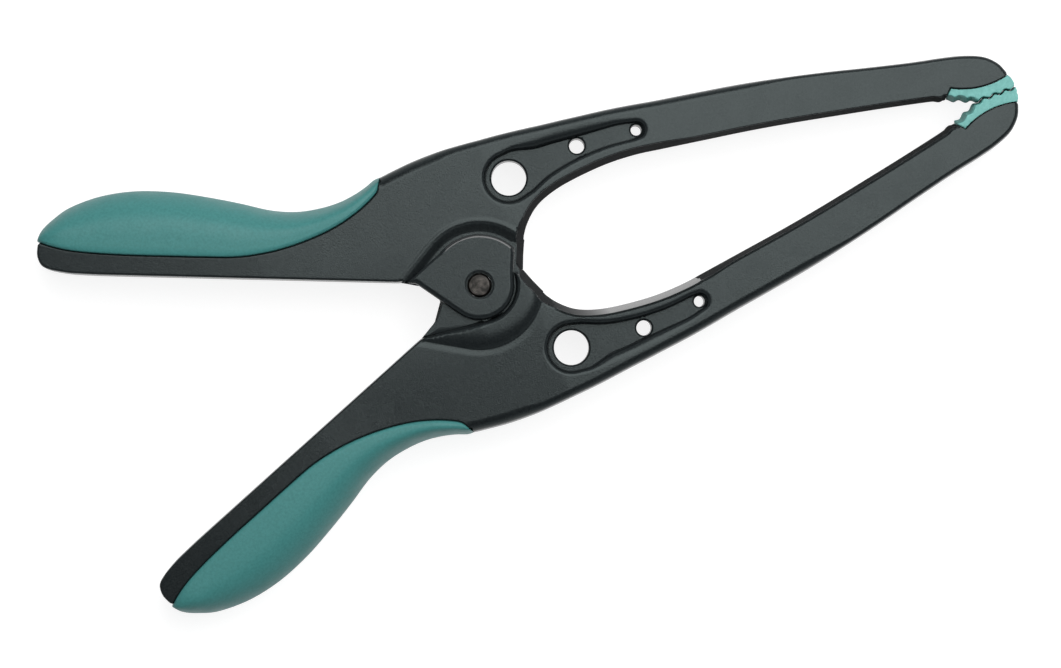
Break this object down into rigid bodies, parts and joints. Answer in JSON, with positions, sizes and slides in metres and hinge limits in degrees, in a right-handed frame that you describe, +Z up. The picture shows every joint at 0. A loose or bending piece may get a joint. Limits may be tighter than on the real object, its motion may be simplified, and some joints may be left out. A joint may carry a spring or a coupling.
{
  "type": "spring clamp",
  "caption": "Long-jawed spring clamp: two crossed moulded arms on a pivot pin, soft handle grips, toothed jaw pads and a torsion spring in the hub that shuts the jaws.",
  "frame": {"origin": "on the pivot axis, in the hub face that the clamp lies on", "axes": "+X along the clamp to the jaw tips, +Y towards the upper arm, +Z up along the pivot pin"},
  "size_m": [0.2242, 0.0992, 0.024],
  "materials": {
    "arm_plastic": "fine moulded grain, satin",
    "grip_rubber": "soft, matt",
    "pad_rubber": "soft, matt",
    "pin_steel": "turned end",
    "spring_steel": "drawn wire"
  },
  "bodies": {
    "lower_lever": {"lower_arm": "arm_plastic", "lower_grip": "grip_rubber", "lower_jaw_pad": "pad_rubber", "pivot_pin": "pin_steel", "torsion_spring": "spring_steel"},
    "upper_lever": {"upper_arm": "arm_plastic", "upper_grip": "grip_rubber", "upper_jaw_pad": "pad_rubber"}
  },
  "joints": [
    {"name": "pivot", "type": "hinge", "parent": "lower_lever", "child": "upper_lever", "pos_m": [0, 0, 0], "axis": [0, 0, 1], "range_deg": [0, 42], "stiffness_Nm_per_rad": 1.15, "springref_deg": -28.65, "deforming": ["torsion_spring"]}
  ]
}
